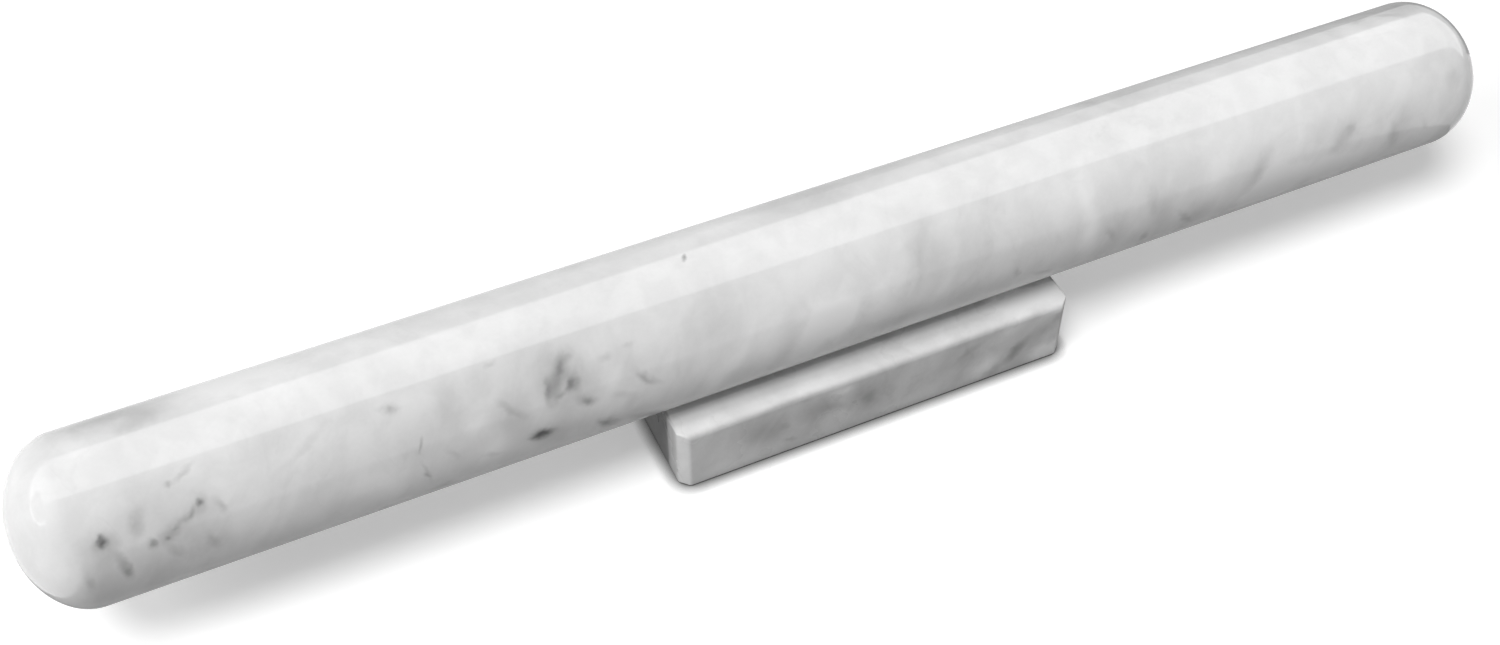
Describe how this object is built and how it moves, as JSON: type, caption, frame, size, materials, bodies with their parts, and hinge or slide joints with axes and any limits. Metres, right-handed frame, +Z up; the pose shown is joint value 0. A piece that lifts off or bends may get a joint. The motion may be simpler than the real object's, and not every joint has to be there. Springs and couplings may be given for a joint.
{
  "type": "rolling pin on stand",
  "caption": "Handle-less rolling pin of polished white and grey marble with domed ends, lying across a low marble stand whose cradle keeps it from rolling away.",
  "frame": {"origin": "on the surface that the stand rests on, under the middle of the rolling pin", "axes": "+X along the rolling pin towards the end nearer the stand, +Y across the pin, +Z up"},
  "size_m": [0.4, 0.046, 0.058],
  "materials": {
    "pin_marble": "polished white marble with grey veins",
    "stand_marble": "honed and polished grey-veined marble"
  },
  "bodies": {
    "stand": {"stand": "stand_marble"},
    "pin": {"rolling_pin": "pin_marble"}
  },
  "joints": [
    {"name": "pin_lift", "type": "slide", "parent": "stand", "child": "pin", "axis": [0, 0, 1], "range_m": [0, 0.06]}
  ]
}
